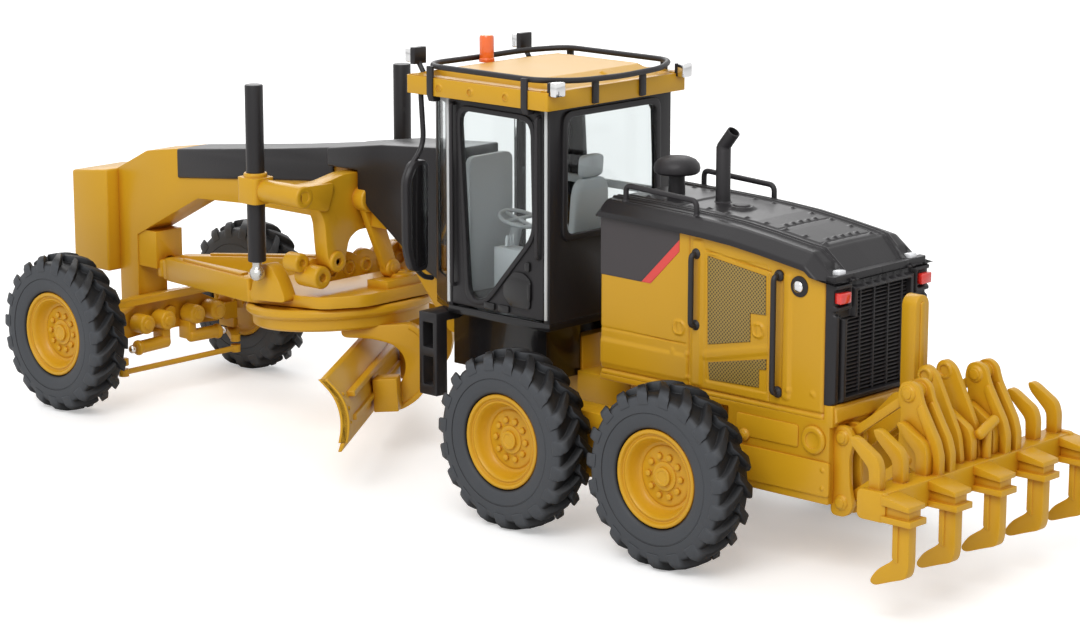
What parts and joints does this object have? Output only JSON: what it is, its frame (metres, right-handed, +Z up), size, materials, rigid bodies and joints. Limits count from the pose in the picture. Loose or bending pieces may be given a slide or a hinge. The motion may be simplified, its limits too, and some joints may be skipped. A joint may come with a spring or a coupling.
{
  "type": "motor grader scale model",
  "caption": "1:50 die-cast scale model of an articulated motor grader with angled blade, rear ripper, cab and six wheels",
  "frame": {"origin": "on the ground under the middle of the model's length and width", "axes": "+X to the front, +Y to the model's left, +Z up"},
  "size_m": [0.1984, 0.0607, 0.0706],
  "materials": {
    "yellow_paint": "satin yellow enamel over die-cast metal",
    "black_paint": "semi-gloss black enamel",
    "black_plastic": "moulded black plastic",
    "tyre_rubber": "soft dark grey rubber",
    "clear_glass": "clear moulded plastic glazing",
    "grey_plastic": "moulded light grey plastic",
    "red_lens": "red lamp lenses",
    "lamp_lens": "silvered lamp and orange beacon lenses",
    "bright_steel": "bare bright steel"
  },
  "bodies": {
    "rear": {"tandems": "yellow_paint", "rear_frame": "yellow_paint", "hitch_pin": "bright_steel", "hood_body": "yellow_paint", "hood_lid": "black_paint", "hood_surround": "black_paint", "grille": "black_paint", "hood_stacks": "black_plastic", "hood_rails": "black_plastic", "tail_lamps": "red_lens", "ripper_bracket": "yellow_paint", "ripper_cylinder": "yellow_paint"},
    "front": {"front_frame": "yellow_paint", "push_block": "yellow_paint", "frame_cover": "black_paint", "cab_frame": "black_plastic", "cab_doors": "black_plastic", "cab_glass": "clear_glass", "cab_base": "black_paint", "cab_roof": "yellow_paint", "seat": "grey_plastic", "cab_controls": "grey_plastic", "roof_rail": "black_plastic", "roof_lamps": "lamp_lens", "mirrors": "black_plastic", "ladders": "black_plastic", "saddle": "yellow_paint", "link_bar": "yellow_paint", "lift_cylinders": "black_plastic", "front_axle": "yellow_paint"},
    "lean_left": {"lean_post_left": "yellow_paint"},
    "lean_right": {"lean_post_right": "yellow_paint"},
    "lean_bar": {"lean_bar": "yellow_paint"},
    "knuckle_left": {"knuckle_left": "yellow_paint"},
    "knuckle_right": {"knuckle_right": "yellow_paint"},
    "tie_rod": {"tie_rod": "yellow_paint"},
    "drawbar": {"drawbar": "yellow_paint"},
    "circle": {"circle": "yellow_paint"},
    "blade_carrier": {"blade_carrier": "yellow_paint"},
    "blade": {"moldboard": "yellow_paint", "cutting_edge": "yellow_paint"},
    "lift_rod_left": {"lift_rod_left": "bright_steel"},
    "lift_rod_right": {"lift_rod_right": "bright_steel"},
    "ripper_link_low": {"ripper_lower_link": "yellow_paint"},
    "ripper_link_high": {"ripper_upper_links": "yellow_paint"},
    "ripper_beam": {"ripper_beam": "yellow_paint", "ripper_shanks": "yellow_paint"},
    "ripper_rod": {"ripper_rod": "yellow_paint"},
    "wheel_front_left": {"tyre_front_left": "tyre_rubber", "rim_front_left": "yellow_paint"},
    "wheel_front_right": {"tyre_front_right": "tyre_rubber", "rim_front_right": "yellow_paint"},
    "wheel_mid_left": {"tyre_mid_left": "tyre_rubber", "rim_mid_left": "yellow_paint"},
    "wheel_mid_right": {"tyre_mid_right": "tyre_rubber", "rim_mid_right": "yellow_paint"},
    "wheel_rear_left": {"tyre_rear_left": "tyre_rubber", "rim_rear_left": "yellow_paint"},
    "wheel_rear_right": {"tyre_rear_right": "tyre_rubber", "rim_rear_right": "yellow_paint"}
  },
  "joints": [
    {"name": "articulation", "type": "hinge", "parent": "rear", "child": "front", "pos_m": [-0.02885, 0, 0.0183], "axis": [0, 0, 1], "range_deg": [-20, 20]},
    {"name": "lean_left", "type": "hinge", "parent": "front", "child": "lean_left", "pos_m": [0.08261, 0.0136, 0.012], "axis": [-1, 0, 0], "range_deg": [-18, 18]},
    {"name": "lean_right", "type": "hinge", "parent": "front", "child": "lean_right", "pos_m": [0.08261, -0.0136, 0.012], "axis": [-1, 0, 0], "range_deg": [-18, 18]},
    {"name": "lean_bar", "type": "hinge", "parent": "lean_left", "child": "lean_bar", "pos_m": [0.07961, 0.0136, 0.0174], "axis": [-1, 0, 0], "range_deg": [-18, 18]},
    {"name": "steer_left", "type": "hinge", "parent": "lean_left", "child": "knuckle_left", "pos_m": [0.08261, 0.0168, 0.0137], "axis": [0, 0, 1], "range_deg": [-45, 45]},
    {"name": "steer_right", "type": "hinge", "parent": "lean_right", "child": "knuckle_right", "pos_m": [0.08261, -0.0168, 0.0137], "axis": [0, 0, 1], "range_deg": [-45, 45]},
    {"name": "tie_rod", "type": "slide", "parent": "front", "child": "tie_rod", "axis": [0, -1, 0], "range_m": [-0.0036, 0.0036]},
    {"name": "spin_front_left", "type": "hinge", "parent": "knuckle_left", "child": "wheel_front_left", "pos_m": [0.08261, 0.0215, 0.0137], "axis": [0, 1, 0], "continuous": true},
    {"name": "spin_front_right", "type": "hinge", "parent": "knuckle_right", "child": "wheel_front_right", "pos_m": [0.08261, -0.0215, 0.0137], "axis": [0, 1, 0], "continuous": true},
    {"name": "spin_mid_left", "type": "hinge", "parent": "rear", "child": "wheel_mid_left", "pos_m": [-0.02462, 0.0215, 0.0137], "axis": [0, 1, 0], "continuous": true},
    {"name": "spin_mid_right", "type": "hinge", "parent": "rear", "child": "wheel_mid_right", "pos_m": [-0.02462, -0.0215, 0.0137], "axis": [0, 1, 0], "continuous": true},
    {"name": "spin_rear_left", "type": "hinge", "parent": "rear", "child": "wheel_rear_left", "pos_m": [-0.05508, 0.0215, 0.0137], "axis": [0, 1, 0], "continuous": true},
    {"name": "spin_rear_right", "type": "hinge", "parent": "rear", "child": "wheel_rear_right", "pos_m": [-0.05508, -0.0215, 0.0137], "axis": [0, 1, 0], "continuous": true},
    {"name": "drawbar_lift", "type": "hinge", "parent": "front", "child": "drawbar", "pos_m": [0.08195, 0, 0.0224], "axis": [0, 1, 0], "range_deg": [-24, 0]},
    {"name": "lift_rod_left", "type": "slide", "parent": "front", "child": "lift_rod_left", "axis": [0, 0, 1], "range_m": [-0.0186, 0.0001]},
    {"name": "lift_rod_right", "type": "slide", "parent": "front", "child": "lift_rod_right", "axis": [0, 0, 1], "range_m": [-0.0186, 0.0001]},
    {"name": "circle_turn", "type": "hinge", "parent": "drawbar", "child": "circle", "pos_m": [0.03602, 0, 0.0226], "axis": [0.0785, 0, 0.9969], "continuous": true},
    {"name": "blade_tip", "type": "hinge", "parent": "circle", "child": "blade_carrier", "pos_m": [0.02658, -0.00626, 0.0085], "axis": [-0.6, 0.7986, 0.0472], "range_deg": [-5, 40]},
    {"name": "blade_shift", "type": "slide", "parent": "blade_carrier", "child": "blade", "axis": [0.6, -0.7986, -0.0472], "range_m": [-0.0132, 0.0102]},
    {"name": "ripper_lift", "type": "hinge", "parent": "rear", "child": "ripper_link_low", "pos_m": [-0.07735, 0, 0.0115], "axis": [0, 1, 0], "range_deg": [-58, 0]},
    {"name": "ripper_high", "type": "hinge", "parent": "rear", "child": "ripper_link_high", "pos_m": [-0.07735, 0, 0.021], "axis": [0, 1, 0], "range_deg": [-58, 0]},
    {"name": "ripper_level", "type": "hinge", "parent": "ripper_link_low", "child": "ripper_beam", "pos_m": [-0.08855, 0, 0.0198], "axis": [0, 1, 0], "range_deg": [0, 58]},
    {"name": "ripper_rod", "type": "slide", "parent": "rear", "child": "ripper_rod", "axis": [0, 0, 1], "range_m": [-0.0059, 0.0001]}
  ],
  "couplings": [
    {"joint": "lean_right", "follows": "lean_left", "ratio": 1},
    {"joint": "lean_bar", "follows": "lean_left", "ratio": -1},
    {"joint": "steer_right", "follows": "steer_left", "ratio": 1},
    {"joint": "tie_rod", "follows": "steer_left", "m_per_rad": 0.0045},
    {"joint": "lift_rod_left", "follows": "drawbar_lift", "m_per_rad": 0.0441},
    {"joint": "lift_rod_right", "follows": "drawbar_lift", "m_per_rad": 0.0441},
    {"joint": "ripper_high", "follows": "ripper_lift", "ratio": 1},
    {"joint": "ripper_level", "follows": "ripper_lift", "ratio": -1},
    {"joint": "ripper_rod", "follows": "ripper_lift", "m_per_rad": 0.0058}
  ]
}
